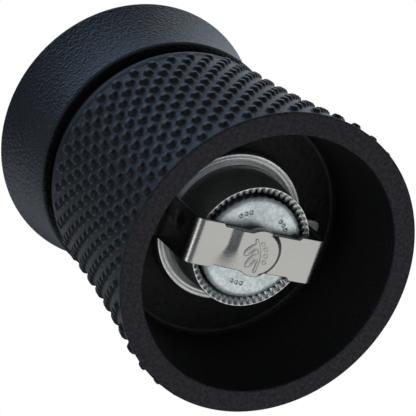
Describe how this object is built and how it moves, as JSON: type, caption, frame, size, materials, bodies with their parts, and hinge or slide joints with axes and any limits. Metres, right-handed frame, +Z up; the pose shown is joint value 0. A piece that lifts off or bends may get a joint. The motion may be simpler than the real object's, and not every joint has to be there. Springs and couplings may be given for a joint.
{
  "type": "pepper mill",
  "caption": "Compact cast-iron table pepper mill with a studded body that opens as a cup below, a flared turning head, and a steel bracket under the grinding set.",
  "frame": {"origin": "centre of the base rim, on the plane the mill stands on", "axes": "+Z up along the shaft towards the head; X along the bracket that spans the cup"},
  "size_m": [0.067, 0.067, 0.08],
  "materials": {
    "black_casting": "satin black enamel with rounded studs",
    "black_head": "satin black enamel with a fine pebbled cast grain",
    "ring_metal": "matt pale grey, turned",
    "rotor_metal": "matt pale blue-grey, blasted",
    "bracket_steel": "fine brushed stainless with bright edges",
    "plate_steel": "stamped, satin",
    "screw_steel": "plated, slightly dull",
    "washer_steel": "stamped, satin",
    "spring_steel": "drawn wire",
    "shaft_steel": "drawn square bar",
    "knob_steel": "turned, satin",
    "bush_brass": "plain bearing bronze",
    "insert_brass": "threaded, satin",
    "bearing_plastic": "moulded, matt",
    "moulded_plastic": "moulded, matt",
    "pad_plastic": "moulded, natural",
    "slip_plastic": "thin slip film, natural"
  },
  "bodies": {
    "mill_body": {"body_casting": "black_casting", "neck_bush": "bearing_plastic", "stator": "ring_metal", "feed_bridge": "plate_steel", "bridge_bush": "bush_brass", "bracket": "bracket_steel", "thrust_pad": "pad_plastic", "bracket_screws": "screw_steel"},
    "carrier": {"spring_washer": "washer_steel", "grind_spring": "spring_steel"},
    "spindle": {"shaft": "shaft_steel", "rotor": "rotor_metal", "rotor_washer": "washer_steel"},
    "head": {"head_casting": "black_head", "head_plug": "moulded_plastic", "drive_plate": "plate_steel", "drive_plate_screws": "screw_steel", "plug_screws": "screw_steel", "knob_washer": "slip_plastic"},
    "knob": {"knob": "knob_steel", "knob_insert": "insert_brass"}
  },
  "joints": [
    {"name": "head_turn", "type": "hinge", "parent": "mill_body", "child": "carrier", "pos_m": [0, 0, 0.057], "axis": [0, 0, 1], "continuous": true},
    {"name": "rotor_lift", "type": "slide", "parent": "carrier", "child": "spindle", "axis": [0, 0, 1], "range_m": [0, 0.0008], "deforming": ["grind_spring"]},
    {"name": "head_lift", "type": "slide", "parent": "carrier", "child": "head", "axis": [0, 0, 1], "range_m": [0, 0.04]},
    {"name": "knob_turn", "type": "hinge", "parent": "head", "child": "knob", "pos_m": [0, 0, 0.075], "axis": [0, 0, 1], "range_deg": [-360, 0]}
  ],
  "couplings": [
    {"joint": "knob_turn", "follows": "rotor_lift", "rad_per_m": -7854}
  ]
}
